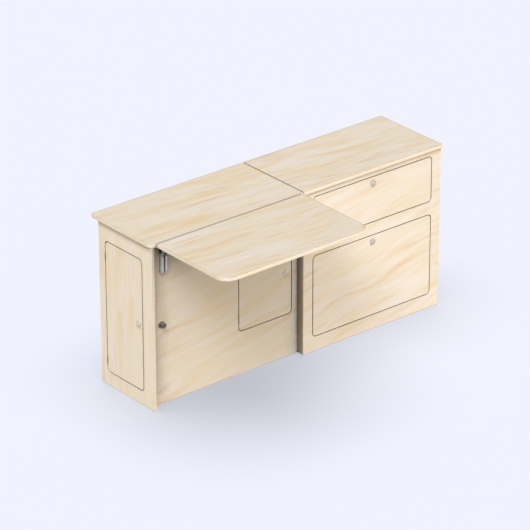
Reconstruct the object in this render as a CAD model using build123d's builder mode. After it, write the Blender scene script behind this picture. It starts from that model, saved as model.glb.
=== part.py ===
"""Van side cabinet: plywood carcass, fold-down flap on two locking brackets, two doors and two drawers.

Millimetres, +Z up. X runs along the cabinet, -Y is the side with the flap and the drawers.
The origin is under the middle of the overall outline with the flap raised, on the floor.
"""
from build123d import *
from dataclasses import dataclass
import os

os.makedirs("parts", exist_ok=True)

# Overall outline
total_length = 1545.0
body_height = 740.0
worktop_depth = 392.0
side_overhang = 9.0
front_overhang = 3.0
back_overhang = 42.0
left_worktop_length = 787.5
seam_gap = 3.5

# Sheet thicknesses
worktop_thickness = 15.0
panel_thickness = 12.0
back_thickness = 6.0

# Rounded corners and edges of the tops
front_corner_radius = 30.0
back_corner_radius = 10.0
square_corner_radius = 3.0
edge_round = 1.2
flap_corner_radius = 60.0

# Flap
flap_reach = 430.0
flap_inset = 29.0
flap_end_inset = 12.5
flap_gap = 4.0

# Carcass layout
divider_setback = 1.0
partition_margin = 34.5

# Doors and drawer fronts, cut from the panels around them
door_gap = 4.0
opening_radius = 20.0
end_opening_setback = 64.0
end_opening_back_margin = 40.0
end_opening_bottom = 61.5
end_opening_top_margin = 74.5
small_opening_width = 283.0
small_opening_setback = 32.0
small_opening_bottom = 192.0
small_opening_top_margin = 149.0
drawer_opening_margin = 48.75
upper_opening_height = 210.0
upper_opening_top_margin = 20.5
lower_opening_bottom = 64.5
drawer_opening_spacing = 56.0

# Door hinges: small butt hinges whose knuckles stand in the gap
hinge_length = 34.0
leaf_thickness = 1.2
leaf_depth = 11.0
knuckle_radius = 2.5
knuckle_clearance = 0.5
hinge_pin_radius = 1.3
hinge_screw_radius = 1.1
hinge_screw_length = 10.0
hinge_screw_spacing = 18.0
end_hinge_low = 52.0
end_hinge_high = 72.0
small_hinge_offset = 60.0

# Push locks
lock_inset = 31.0
rosette_radius = 15.0
rosette_rise = 2.5
rosette_round = 1.2
button_radius = 10.7
button_clearance = 0.3
sleeve_wall = 1.5
button_rise = 3.5
button_dish = 2.0
button_rim = 1.5
button_skirt = 4.0
button_travel = 6.0
shaft_radius = 5.0
shaft_length = 14.0
case_length = 45.0
case_width = 30.0
case_depth = 16.0
case_tail = 21.0
case_round = 3.0
bolt_width = 16.0
bolt_thickness = 3.0
bolt_travel = 9.0
bolt_tail = 18.0
bolt_tip = 26.0
bolt_bevel = 2.0
bolt_setback = 2.0
strike_length = 11.5
strike_width = 28.0
strike_thickness = 1.5
strike_setback = 0.5

# Folding brackets under the flap
bracket_inset = 58.5
pivot_drop = 12.0
pivot_to_wall = 8.0
leg_width = 29.0
leg_sheet = 1.5
leg_clearance = 3.5
leg_top = 9.5
leg_length = 137.5
lip_top = 56.0
slot_width = 8.0
leg_corner_round = 3.0
leg_hole_radius = 2.5
leg_hole_drop = 88.0
leg_screw_drops = (25.0, 75.0, 115.0)
arm_length = 200.0
arm_flange = 2.0
arm_web = 5.0
arm_web_depth = 12.0
arm_nose = 30.0
arm_back_gap = 1.0
ear_radius = 6.5
boss_radius = 4.2
arm_screw_spread = 18.0
arm_screw_reaches = (10.0, 108.0, 148.0, 188.0)
pivot_pin_radius = 3.0
pin_head_radius = 4.5
pin_head = 1.2
slide_thickness = 2.0
slide_front = 3.0
slide_travel = 3.0
slide_top = 6.5
slide_bottom = 60.0
slide_tab_drop = 50.0
slide_tab_reach = 6.0
slide_tab_gap = 8.0
tooth_width = 4.4
bracket_screw_radius = 2.0
bracket_screw_length = 10.0
bracket_screw_head = 3.5
screw_head_height = 1.0

# Rubber buffer that the folded flap lies against
buffer_radius = 12.0
buffer_gap = 0.5
buffer_round = 3.0
buffer_inset = 57.5
buffer_height_up = 356.5
buffer_dish_radius = 5.0
buffer_dish = 2.0

# Drawers
drawer_side_clearance = 11.0
drawer_box_clearance = 15.0
drawer_back_gap = 19.0
drawer_board = 12.0
drawer_bottom_thickness = 6.0
drawer_bottom_rise = 8.0
groove_depth = 4.0
groove_clearance = 0.1
runner_setback = 4.0
runner_back_gap = 25.0
runner_width = 12.7
runner_height = 35.0
runner_sheet = 1.2
runner_overlap = 9.7
runner_lip = 10.0
runner_clearance = 0.5
runner_rise = 70.0
spacer_height = 45.0

# Battens, dowels and screws that hold the boards together
batten_size = 20.0
batten_screw_radius = 2.0
batten_screw_bite = 10.0
batten_screw_head = 4.0
dowel_radius = 3.0
dowel_length = 20.0
dowel_bite = 5.5
dowel_end_inset = 60.0
fit_clearance = 0.05

# Floor bolts
floor_hole_radius = 4.5
floor_hole_end_inset = 60.0
floor_hole_side_inset = 47.0

overrun = 5.0

# Places that follow from the sizes
left_edge = -total_length / 2
right_edge = total_length / 2
top_front = (flap_reach - worktop_depth) / 2
top_back = top_front + worktop_depth
body_left = left_edge + side_overhang
body_right = right_edge - side_overhang
body_front = top_front + front_overhang
body_back = top_back - back_overhang
panel_top = body_height - worktop_thickness
seam_x = left_edge + left_worktop_length
inner_left = body_left + panel_thickness
inner_right = body_right - panel_thickness
divider_left = seam_x + divider_setback
divider_right = divider_left + panel_thickness
recess_depth = worktop_thickness + pivot_drop + pivot_to_wall
recess_front = body_front + recess_depth
recess_back = recess_front + panel_thickness
right_back = body_front + panel_thickness
back_front = body_back - back_thickness
flap_left = left_edge + flap_inset
flap_right = seam_x - flap_end_inset
flap_back = top_front - flap_gap
flap_front = top_front - flap_reach
pivot_z = panel_top - pivot_drop
pivot_y = recess_front - pivot_to_wall
leg_front = pivot_drop - arm_flange - leg_clearance
buffer_height = pivot_drop + pivot_to_wall - buffer_gap


@dataclass(frozen=True)
class Opening:
    """A rounded opening in a panel, by its edges across and up, with the front that fills it."""

    low: float
    high: float
    bottom: float
    top: float

    @property
    def width(self):
        return self.high - self.low

    @property
    def height(self):
        return self.top - self.bottom

    @property
    def centre(self):
        return ((self.low + self.high) / 2, (self.bottom + self.top) / 2)

    def cut(self):
        """Takes the opening out of the sketch in hand."""
        with Locations(self.centre):
            RectangleRounded(self.width, self.height, opening_radius, mode=Mode.SUBTRACT)

    def fill(self):
        """Draws the front that fills the opening, smaller by the gap all round."""
        shrink = 2 * door_gap
        with Locations(self.centre):
            RectangleRounded(self.width - shrink, self.height - shrink, opening_radius - door_gap)


end_opening = Opening(
    body_front + end_opening_setback,
    body_back - end_opening_back_margin,
    end_opening_bottom,
    panel_top - end_opening_top_margin,
)
small_opening = Opening(
    divider_left - small_opening_setback - small_opening_width,
    divider_left - small_opening_setback,
    small_opening_bottom,
    panel_top - small_opening_top_margin,
)
upper_opening = Opening(
    divider_left + drawer_opening_margin,
    body_right - drawer_opening_margin,
    panel_top - upper_opening_top_margin - upper_opening_height,
    panel_top - upper_opening_top_margin,
)
lower_opening = Opening(
    divider_left + drawer_opening_margin,
    body_right - drawer_opening_margin,
    lower_opening_bottom,
    upper_opening.bottom - drawer_opening_spacing,
)

# Boards that stand between the openings
partition_right = small_opening.low - partition_margin
partition_left = partition_right - panel_thickness
shelf_bottom = (lower_opening.top + upper_opening.bottom - panel_thickness) / 2


def block(low, high, mode=Mode.ADD):
    """A box between two opposite corners, in the part in hand."""
    sizes = [top - bottom for bottom, top in zip(low, high)]
    with Locations([tuple((bottom + top) / 2 for bottom, top in zip(low, high))]):
        Box(*sizes, mode=mode)


def rod(start, direction, radius, length, mode=Mode.ADD):
    """A round bar from its starting point along a direction, in the part in hand."""
    with Locations(Plane(origin=start, z_dir=direction)):
        Cylinder(radius, length, align=(Align.CENTER, Align.CENTER, Align.MIN), mode=mode)


def bore(start, direction, radius, length):
    """A hole for a round bar, with a little clearance."""
    rod(start, direction, radius + fit_clearance, length, mode=Mode.SUBTRACT)


# Dowel places: on the face of each side panel, where the edges of the cross boards meet it.
base_middle = panel_thickness / 2
recess_middle = (recess_front + recess_back) / 2
shelf_middle = shelf_bottom + panel_thickness / 2
left_rows = [
    (recess_middle, dowel_end_inset),
    (recess_middle, panel_top / 2),
    (recess_middle, panel_top - dowel_end_inset),
    (recess_back + dowel_end_inset, base_middle),
    (back_front - dowel_end_inset, base_middle),
]
right_rows = [
    (right_back + dowel_end_inset, base_middle),
    (back_front - dowel_end_inset, base_middle),
    (right_back + dowel_end_inset, shelf_middle),
    (back_front - dowel_end_inset, shelf_middle),
]
front_rows = [dowel_end_inset, panel_top / 2, panel_top - dowel_end_inset]
side_dowels = []
for y, z in left_rows:
    side_dowels.append(((inner_left - dowel_bite, y, z), (1, 0, 0)))
    side_dowels.append(((divider_left + dowel_bite, y, z), (-1, 0, 0)))
for y, z in right_rows:
    side_dowels.append(((divider_right - dowel_bite, y, z), (1, 0, 0)))
    side_dowels.append(((inner_right + dowel_bite, y, z), (-1, 0, 0)))
front_dowels = []
for x in ((divider_left + divider_right) / 2, (inner_right + body_right) / 2):
    for z in front_rows:
        front_dowels.append(((x, right_back - dowel_bite, z), (0, 1, 0)))
partition_dowels = []
for z in front_rows:
    partition_middle = (partition_left + partition_right) / 2
    partition_dowels.append(((partition_middle, recess_back - dowel_bite, z), (0, 1, 0)))


def dowel_holes(places):
    """Holes for the dowels at these places, in the part in hand."""
    for start, direction in places:
        bore(start, direction, dowel_radius, dowel_length)


# Hinge places: a plane at the middle of each hinge, local x towards the door and local y inwards.
def hinge_plane(x, y, z, towards_door):
    return Plane(origin=(x, y, z), x_dir=towards_door, z_dir=(0, 0, 1))


end_hinge_y = end_opening.high - door_gap / 2
end_hinges = [
    hinge_plane(body_left, end_hinge_y, end_opening.bottom + end_hinge_low, (0, -1, 0)),
    hinge_plane(body_left, end_hinge_y, end_opening.top - end_hinge_high, (0, -1, 0)),
]
small_hinge_x = small_opening.low + door_gap / 2
small_hinges = [
    hinge_plane(small_hinge_x, recess_front, small_opening.bottom + small_hinge_offset, (1, 0, 0)),
    hinge_plane(small_hinge_x, recess_front, small_opening.top - small_hinge_offset, (1, 0, 0)),
]


def hinge_screw_planes(hinge, side):
    """Planes at the two screws of one leaf, facing into the board on that side of the gap."""
    normal = hinge.x_dir * side
    for rise in (-hinge_screw_spacing / 2, hinge_screw_spacing / 2):
        start = hinge.origin + hinge.y_dir * (leaf_depth + knuckle_radius) / 2
        start += normal * (door_gap / 2 - leaf_thickness / 2) + hinge.z_dir * rise
        yield Plane(origin=start, z_dir=normal)


def hinge_recess(hinges, side):
    """Clears the knuckles out of a board's edge and bores it for the leaf's screws."""
    for hinge in hinges:
        reach = hinge_length + 2 * knuckle_clearance
        room = knuckle_radius + knuckle_clearance
        rod(hinge.offset(-reach / 2).origin, hinge.z_dir, room, reach, mode=Mode.SUBTRACT)
        for plane in hinge_screw_planes(hinge, side):
            bore(plane.origin, plane.z_dir, hinge_screw_radius, hinge_screw_length)


def hinge_leaf(hinge, side):
    """One leaf of a three-knuckle hinge: side 1 is the door's, side -1 the frame's."""
    third = hinge_length / 3
    near = door_gap / 2 - leaf_thickness
    own = [0] if side > 0 else [-third, third]
    other = [-third, third] if side > 0 else [0]
    end_play = leaf_thickness / 4
    sideways = hinge.x_dir * side * (near + leaf_thickness / 2)
    leaf_middle = hinge.origin + sideways + hinge.y_dir * leaf_depth / 2
    with Locations(Plane(origin=leaf_middle, x_dir=hinge.x_dir, z_dir=hinge.z_dir)):
        Box(leaf_thickness, leaf_depth, hinge_length)
    room = knuckle_radius + end_play
    for rise in other:
        rod(hinge.offset(rise - third / 2).origin, hinge.z_dir, room, third, mode=Mode.SUBTRACT)
    for rise in own:
        start = hinge.offset(rise - third / 2 + end_play / 2).origin
        rod(start, hinge.z_dir, knuckle_radius, third - end_play)
    bore(hinge.offset(-hinge_length).origin, hinge.z_dir, hinge_pin_radius, 2 * hinge_length)
    for plane in hinge_screw_planes(hinge, side):
        start = plane.origin - plane.z_dir * leaf_thickness
        bore(start, plane.z_dir, hinge_screw_radius, 2 * leaf_thickness)


def hinge_screws(hinges, side):
    """The screws that hold one leaf of each hinge to its board."""
    for hinge in hinges:
        for plane in hinge_screw_planes(hinge, side):
            rod(plane.origin, plane.z_dir, hinge_screw_radius, hinge_screw_length)


# Lock places: a plane on the front's face, local x the way the bolt shoots, local z outwards.
locks = {
    "end_door": Plane(
        origin=(body_left, end_opening.low + lock_inset, end_opening.centre[1]),
        x_dir=(0, -1, 0),
        z_dir=(-1, 0, 0),
    ),
    "small_door": Plane(
        origin=(small_opening.high - lock_inset, recess_front, small_opening.centre[1]),
        x_dir=(1, 0, 0),
        z_dir=(0, -1, 0),
    ),
    "upper_drawer": Plane(
        origin=(upper_opening.centre[0], body_front, upper_opening.top - lock_inset),
        x_dir=(0, 0, 1),
        z_dir=(0, -1, 0),
    ),
    "lower_drawer": Plane(
        origin=(lower_opening.centre[0], body_front, lower_opening.top - lock_inset),
        x_dir=(0, 0, 1),
        z_dir=(0, -1, 0),
    ),
}
sleeve_bore = button_radius + button_clearance
sleeve_radius = sleeve_bore + sleeve_wall


def lock_hole(lock):
    """The round hole for a lock's sleeve, through the board in hand."""
    start = lock.offset(overrun).origin
    bore(start, -lock.z_dir, sleeve_radius, panel_thickness + 2 * overrun)


def turning_plane(lock):
    """The plane through a lock's axis, local x across and local y outwards."""
    return Plane(origin=lock.origin, x_dir=lock.x_dir, z_dir=lock.x_dir.cross(lock.z_dir))


# Bracket places: the middle of each bracket on the flap's turning axis.
bracket_middles = [flap_left + bracket_inset, flap_right - bracket_inset]
across = Plane.YZ.offset


def side_sketch_points(points):
    """Points given from the flap's axis, as towards the wall and up."""
    return [(pivot_y + towards_wall, pivot_z + up) for towards_wall, up in points]


def leg_screw_places():
    """Starting points of the screws that hold the wall legs."""
    for middle in bracket_middles:
        for drop in leg_screw_drops:
            yield (middle, recess_front, pivot_z - drop)


def arm_screw_places():
    """Starting points of the screws that hold the arms to the flap."""
    for middle in bracket_middles:
        for reach in arm_screw_reaches:
            for sideways in (-arm_screw_spread / 2, arm_screw_spread / 2):
                yield (middle + sideways, flap_back - arm_back_gap - reach, panel_top)


# Batten places: lengthwise under the tops, against each side panel.
left_batten_front = recess_back
right_batten_front = right_back
batten_rows = [
    (inner_left, left_batten_front, True),
    (divider_left - batten_size, left_batten_front, True),
    (divider_right, right_batten_front, False),
    (inner_right - batten_size, right_batten_front, False),
]


def batten_screw_places(on_left):
    """Starting points of the screws that go up through the battens into one worktop."""
    for x, front, is_left in batten_rows:
        if is_left == on_left:
            for y in (front + dowel_end_inset, back_front - dowel_end_inset):
                yield (x + batten_size / 2, y, panel_top - batten_size)


# Worktops
def worktop(low_x, high_x, front, low_corners, screws):
    """A worktop board with rounded outer corners and eased outer edges, but a square edge at the seam.

    A board that starts in front of the other one is cut back to it, and gets a square front edge.
    """
    with BuildPart() as top:
        with BuildSketch(Plane.XY.offset(panel_top)):
            with Locations(((low_x + high_x) / 2, (front + top_back) / 2)):
                Rectangle(high_x - low_x, top_back - front)
        extrude(amount=worktop_thickness)
        upright = top.edges().filter_by(Axis.Z)
        for edge in upright:
            middle = edge.center()
            for x, y, radius in low_corners:
                if abs(middle.X - x) < fit_clearance and abs(middle.Y - y) < fit_clearance:
                    fillet(edge, radius)
        seam = high_x if low_x < seam_x else low_x
        rims = top.faces().filter_by(Axis.Z).edges()
        fillet([rim for rim in rims if abs(rim.center().X - seam) > fit_clearance], edge_round)
        block(
            (low_x - overrun, front - overrun, panel_top - overrun),
            (high_x + overrun, top_front, body_height + overrun),
            mode=Mode.SUBTRACT,
        )
        for start in screws:
            bore(start, (0, 0, 1), batten_screw_radius, batten_size + batten_screw_bite)
    return top


spare_front = top_front - edge_round
worktop_left = worktop(
    left_edge,
    seam_x - seam_gap / 2,
    spare_front,
    [(left_edge, spare_front, front_corner_radius), (left_edge, top_back, back_corner_radius)],
    batten_screw_places(True),
)
worktop_left.part.label = "worktop_left"
export_step(worktop_left.part, "parts/worktop_left.step")

worktop_right = worktop(
    seam_x + seam_gap / 2,
    right_edge,
    top_front,
    [(right_edge, top_front, square_corner_radius), (right_edge, top_back, square_corner_radius)],
    batten_screw_places(False),
)
worktop_right.part.label = "worktop_right"
export_step(worktop_right.part, "parts/worktop_right.step")

# Carcass panels
with BuildPart() as end_panel_left:
    with BuildSketch(across(body_left)):
        with Locations(((body_front + body_back) / 2, panel_top / 2)):
            Rectangle(body_back - body_front, panel_top)
        end_opening.cut()
    extrude(amount=panel_thickness)
    hinge_recess(end_hinges, -1)
    dowel_holes(side_dowels)
end_panel_left.part.label = "end_panel_left"
export_step(end_panel_left.part, "parts/end_panel_left.step")

with BuildPart() as end_panel_right:
    block((inner_right, right_back, 0), (body_right, body_back, panel_top))
    dowel_holes(side_dowels + front_dowels)
end_panel_right.part.label = "end_panel_right"
export_step(end_panel_right.part, "parts/end_panel_right.step")

with BuildPart() as divider_panel:
    block((divider_left, right_back, 0), (divider_right, back_front, panel_top))
    dowel_holes(side_dowels + front_dowels)
divider_panel.part.label = "divider_panel"
export_step(divider_panel.part, "parts/divider_panel.step")

with BuildPart() as partition_panel:
    block((partition_left, recess_back, panel_thickness), (partition_right, back_front, panel_top))
    dowel_holes(partition_dowels)
partition_panel.part.label = "partition_panel"
export_step(partition_panel.part, "parts/partition_panel.step")

with BuildPart() as recess_panel:
    with BuildSketch(Plane.XZ.offset(-recess_front)):
        with Locations(((inner_left + divider_left) / 2, panel_top / 2)):
            Rectangle(divider_left - inner_left, panel_top)
        small_opening.cut()
    extrude(amount=-panel_thickness)
    hinge_recess(small_hinges, -1)
    dowel_holes(side_dowels + partition_dowels)
    for place in leg_screw_places():
        bore(place, (0, 1, 0), bracket_screw_radius, bracket_screw_length)
recess_panel.part.label = "recess_panel"
export_step(recess_panel.part, "parts/recess_panel.step")

with BuildPart() as right_front_panel:
    with BuildSketch(Plane.XZ.offset(-body_front)):
        with Locations(((divider_left + body_right) / 2, panel_top / 2)):
            Rectangle(body_right - divider_left, panel_top)
        upper_opening.cut()
        lower_opening.cut()
    extrude(amount=-panel_thickness)
    dowel_holes(front_dowels)
right_front_panel.part.label = "right_front_panel"
export_step(right_front_panel.part, "parts/right_front_panel.step")

with BuildPart() as back_panel:
    block((inner_left, back_front, 0), (inner_right, body_back, panel_top))
back_panel.part.label = "back_panel"
export_step(back_panel.part, "parts/back_panel.step")


def base_board(low_x, high_x, front):
    """A base board on the floor, with four holes for the floor bolts."""
    middle = ((low_x + high_x) / 2, (recess_back + back_front) / 2)
    across_holes = high_x - low_x - 2 * floor_hole_end_inset
    back_to_front_holes = back_front - recess_back - 2 * floor_hole_side_inset
    with BuildPart() as base:
        block((low_x, front, 0), (high_x, back_front, panel_thickness))
        with BuildSketch(Plane.XY):
            with Locations(middle):
                with GridLocations(across_holes, back_to_front_holes, 2, 2):
                    Circle(floor_hole_radius)
        extrude(amount=panel_thickness, mode=Mode.SUBTRACT)
        dowel_holes(side_dowels)
    return base


base_left = base_board(inner_left, divider_left, recess_back)
base_left.part.label = "base_left"
export_step(base_left.part, "parts/base_left.step")

base_right = base_board(divider_right, inner_right, right_back)
base_right.part.label = "base_right"
export_step(base_right.part, "parts/base_right.step")

with BuildPart() as drawer_shelf:
    block(
        (divider_right, right_back, shelf_bottom),
        (inner_right, back_front, shelf_bottom + panel_thickness),
    )
    dowel_holes(side_dowels)
drawer_shelf.part.label = "drawer_shelf"
export_step(drawer_shelf.part, "parts/drawer_shelf.step")

# Battens, their screws, and the dowels
with BuildPart() as worktop_battens:
    for x, front, is_left in batten_rows:
        block((x, front, panel_top - batten_size), (x + batten_size, back_front, panel_top))
    for place in [*batten_screw_places(True), *batten_screw_places(False)]:
        bore(place, (0, 0, 1), batten_screw_radius, batten_size)
worktop_battens.part.label = "worktop_battens"
export_step(worktop_battens.part, "parts/worktop_battens.step")

with BuildPart() as batten_screws:
    for place in [*batten_screw_places(True), *batten_screw_places(False)]:
        rod(place, (0, 0, 1), batten_screw_radius, batten_size + batten_screw_bite)
        rod(place, (0, 0, -1), batten_screw_head, screw_head_height)
batten_screws.part.label = "batten_screws"
export_step(batten_screws.part, "parts/batten_screws.step")

with BuildPart() as joint_dowels:
    for start, direction in side_dowels + front_dowels + partition_dowels:
        rod(start, direction, dowel_radius, dowel_length)
joint_dowels.part.label = "joint_dowels"
export_step(joint_dowels.part, "parts/joint_dowels.step")

# Doors
with BuildPart() as end_door:
    with BuildSketch(across(body_left)):
        end_opening.fill()
    extrude(amount=panel_thickness)
    hinge_recess(end_hinges, 1)
    lock_hole(locks["end_door"])
end_door.part.label = "end_door"
export_step(end_door.part, "parts/end_door.step")

with BuildPart() as small_door:
    with BuildSketch(Plane.XZ.offset(-recess_front)):
        small_opening.fill()
    extrude(amount=-panel_thickness)
    hinge_recess(small_hinges, 1)
    lock_hole(locks["small_door"])
small_door.part.label = "small_door"
export_step(small_door.part, "parts/small_door.step")

for door, hinges in (("end_door", end_hinges), ("small_door", small_hinges)):
    with BuildPart() as leaves:
        for hinge in hinges:
            hinge_leaf(hinge, 1)
        hinge_screws(hinges, 1)
    leaves.part.label = f"{door}_hinge_leaves"
    export_step(leaves.part, f"parts/{door}_hinge_leaves.step")

with BuildPart() as frame_hinge_leaves:
    for hinge in end_hinges + small_hinges:
        hinge_leaf(hinge, -1)
    hinge_screws(end_hinges + small_hinges, -1)
frame_hinge_leaves.part.label = "frame_hinge_leaves"
export_step(frame_hinge_leaves.part, "parts/frame_hinge_leaves.step")

with BuildPart() as hinge_pins:
    for hinge in end_hinges + small_hinges:
        rod(hinge.offset(-hinge_length / 2).origin, hinge.z_dir, hinge_pin_radius, hinge_length)
hinge_pins.part.label = "hinge_pins"
export_step(hinge_pins.part, "parts/hinge_pins.step")

# Push locks
for owner, lock in locks.items():
    axis = Axis(lock.origin, lock.z_dir)

    with BuildPart() as rosette:
        with BuildSketch(lock):
            Circle(rosette_radius)
        extrude(amount=rosette_rise)
        fillet(rosette.edges().filter_by(GeomType.CIRCLE).sort_by(axis)[-1], rosette_round)
        with BuildSketch(lock.offset(-panel_thickness)):
            Circle(sleeve_radius)
        extrude(amount=panel_thickness)
        with BuildSketch(lock.offset(-panel_thickness)):
            Circle(sleeve_bore)
        extrude(amount=panel_thickness + rosette_rise, mode=Mode.SUBTRACT)
    rosette.part.label = f"{owner}_lock_rosette"
    export_step(rosette.part, f"parts/{owner}_lock_rosette.step")

    with BuildPart() as button:
        with BuildSketch(turning_plane(lock)):
            with BuildLine():
                dish_edge = button_radius - button_rim
                dish = ThreePointArc(
                    (0, button_rise - button_dish),
                    (dish_edge / 2, button_rise - button_dish * 3 / 4),
                    (dish_edge, button_rise),
                )
                Polyline(
                    dish @ 1,
                    (button_radius, button_rise - button_rim),
                    (button_radius, -button_skirt),
                    (shaft_radius, -button_skirt),
                    (shaft_radius, -button_skirt - shaft_length),
                    (0, -button_skirt - shaft_length),
                    dish @ 0,
                )
            make_face()
        revolve(axis=axis)
    button.part.label = f"{owner}_lock_button"
    export_step(button.part, f"parts/{owner}_lock_button.step")

    bolt_face = panel_thickness + bolt_setback
    with BuildPart() as bolt:
        with BuildSketch(lock.offset(-bolt_face - bolt_thickness)):
            with Locations(((bolt_tip - bolt_tail) / 2, 0)):
                Rectangle(bolt_tip + bolt_tail, bolt_width)
            slot_width_needed = 2 * (shaft_radius + button_clearance)
            with Locations((-bolt_travel / 2, 0)):
                SlotOverall(slot_width_needed + bolt_travel, slot_width_needed, mode=Mode.SUBTRACT)
        extrude(amount=bolt_thickness)
        tip_face = bolt.faces().sort_by(Axis(lock.origin, lock.x_dir))[-1]
        chamfer(tip_face.edges().sort_by(axis)[-1], bolt_bevel)
    bolt.part.label = f"{owner}_lock_bolt"
    export_step(bolt.part, f"parts/{owner}_lock_bolt.step")

    with BuildPart() as case:
        with BuildSketch(lock.offset(-panel_thickness - case_depth)):
            with Locations((case_length / 2 - case_tail, 0)):
                RectangleRounded(case_length, case_width, case_round)
        extrude(amount=case_depth)
        channel_width = bolt_width + 2 * button_clearance
        channel_depth = bolt_thickness + 2 * button_clearance
        channel_tail = bolt_tail + button_clearance
        with BuildSketch(lock.offset(-bolt_face - bolt_thickness - button_clearance)):
            with Locations(((case_length - channel_tail) / 2, 0)):
                Rectangle(case_length + channel_tail, channel_width)
        extrude(amount=channel_depth, mode=Mode.SUBTRACT)
        with BuildSketch(lock.offset(-panel_thickness)):
            Circle(shaft_radius + button_clearance)
        bore_depth = button_skirt + shaft_length + button_travel - panel_thickness + button_clearance
        extrude(amount=-bore_depth, mode=Mode.SUBTRACT)
    case.part.label = f"{owner}_lock_case"
    export_step(case.part, f"parts/{owner}_lock_case.step")

with BuildPart() as lock_strikes:
    for lock in locks.values():
        with BuildSketch(lock.offset(-panel_thickness - strike_thickness)):
            with Locations((lock_inset + strike_setback + strike_length / 2, 0)):
                Rectangle(strike_length, strike_width)
        extrude(amount=strike_thickness)
lock_strikes.part.label = "lock_strikes"
export_step(lock_strikes.part, "parts/lock_strikes.step")

# Drawers
box_left = upper_opening.low + drawer_side_clearance
box_right = upper_opening.high - drawer_side_clearance
box_back = back_front - drawer_back_gap
runner_front = right_back + runner_setback
runner_back = back_front - runner_back_gap

for name, opening in (("upper_drawer", upper_opening), ("lower_drawer", lower_opening)):
    low = opening.bottom + drawer_box_clearance
    high = opening.top - drawer_box_clearance
    bottom_low = low + drawer_bottom_rise
    bottom_high = bottom_low + drawer_bottom_thickness
    groove_low = (
        box_left + drawer_board - groove_depth,
        right_back - groove_depth,
        bottom_low - groove_clearance,
    )
    groove_high = (
        box_right - drawer_board + groove_depth,
        box_back - drawer_board + groove_depth,
        bottom_high + groove_clearance,
    )

    with BuildPart() as front:
        with BuildSketch(Plane.XZ.offset(-body_front)):
            opening.fill()
        extrude(amount=-panel_thickness)
        lock_hole(locks[name])
        block(groove_low, groove_high, mode=Mode.SUBTRACT)
    front.part.label = f"{name}_front"
    export_step(front.part, f"parts/{name}_front.step")

    with BuildPart() as sides:
        for side_left in (box_left, box_right - drawer_board):
            block((side_left, right_back, low), (side_left + drawer_board, box_back, high))
        block(groove_low, groove_high, mode=Mode.SUBTRACT)
    sides.part.label = f"{name}_sides"
    export_step(sides.part, f"parts/{name}_sides.step")

    with BuildPart() as rear:
        block(
            (box_left + drawer_board, box_back - drawer_board, low),
            (box_right - drawer_board, box_back, high),
        )
        block(groove_low, groove_high, mode=Mode.SUBTRACT)
    rear.part.label = f"{name}_back"
    export_step(rear.part, f"parts/{name}_back.step")

    with BuildPart() as floor_board:
        play = 2 * groove_clearance
        block(
            (groove_low[0] + play, groove_low[1] + play, bottom_low),
            (groove_high[0] - play, groove_high[1] - play, bottom_high),
        )
    floor_board.part.label = f"{name}_bottom"
    export_step(floor_board.part, f"parts/{name}_bottom.step")

    runner_middle = opening.bottom + runner_rise
    inner_half = runner_height / 2 - runner_sheet - runner_clearance
    with BuildPart() as inner_runners:
        for face, outwards in ((box_left, -1), (box_right, 1)):
            near = sorted((face, face + outwards * runner_overlap))
            hollow = sorted((face + outwards * runner_sheet, face + outwards * (runner_overlap + overrun)))
            block(
                (near[0], runner_front, runner_middle - inner_half),
                (near[1], runner_back, runner_middle + inner_half),
            )
            block(
                (hollow[0], runner_front - overrun, runner_middle - inner_half + runner_sheet),
                (hollow[1], runner_back + overrun, runner_middle + inner_half - runner_sheet),
                mode=Mode.SUBTRACT,
            )
    inner_runners.part.label = f"{name}_runners"
    export_step(inner_runners.part, f"parts/{name}_runners.step")

with BuildPart() as cabinet_runners:
    for opening in (upper_opening, lower_opening):
        runner_middle = opening.bottom + runner_rise
        for face, outwards in ((box_left, -1), (box_right, 1)):
            wall = face + outwards * runner_width
            lip = wall - outwards * runner_lip
            whole = sorted((wall, lip))
            hollow = sorted((wall - outwards * runner_sheet, lip - outwards * overrun))
            block(
                (whole[0], runner_front, runner_middle - runner_height / 2),
                (whole[1], runner_back, runner_middle + runner_height / 2),
            )
            block(
                (
                    hollow[0],
                    runner_front - overrun,
                    runner_middle - runner_height / 2 + runner_sheet,
                ),
                (
                    hollow[1],
                    runner_back + overrun,
                    runner_middle + runner_height / 2 - runner_sheet,
                ),
                mode=Mode.SUBTRACT,
            )
cabinet_runners.part.label = "cabinet_runners"
export_step(cabinet_runners.part, "parts/cabinet_runners.step")

with BuildPart() as runner_spacers:
    for opening in (upper_opening, lower_opening):
        runner_middle = opening.bottom + runner_rise
        for low_x, high_x in (
            (divider_right, box_left - runner_width),
            (box_right + runner_width, inner_right),
        ):
            block(
                (low_x, right_back, runner_middle - spacer_height / 2),
                (high_x, runner_back, runner_middle + spacer_height / 2),
            )
runner_spacers.part.label = "runner_spacers"
export_step(runner_spacers.part, "parts/runner_spacers.step")

# Flap
with BuildPart() as flap_top:
    with BuildSketch(Plane.XY.offset(panel_top)):
        with Locations(((flap_left + flap_right) / 2, (flap_front + flap_back) / 2)):
            Rectangle(flap_right - flap_left, flap_back - flap_front)
    extrude(amount=worktop_thickness)
    fillet(flap_top.edges().filter_by(Axis.Z).group_by(Axis.Y)[0], flap_corner_radius)
    rims = flap_top.faces().filter_by(Axis.Z).edges()
    back_rims = rims.group_by(Axis.Y)[-1]
    fillet([rim for rim in rims if rim not in back_rims], edge_round)
    for place in arm_screw_places():
        bore(place, (0, 0, 1), bracket_screw_radius, bracket_screw_length)
flap_top.part.label = "flap_top"
export_step(flap_top.part, "parts/flap_top.step")

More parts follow.
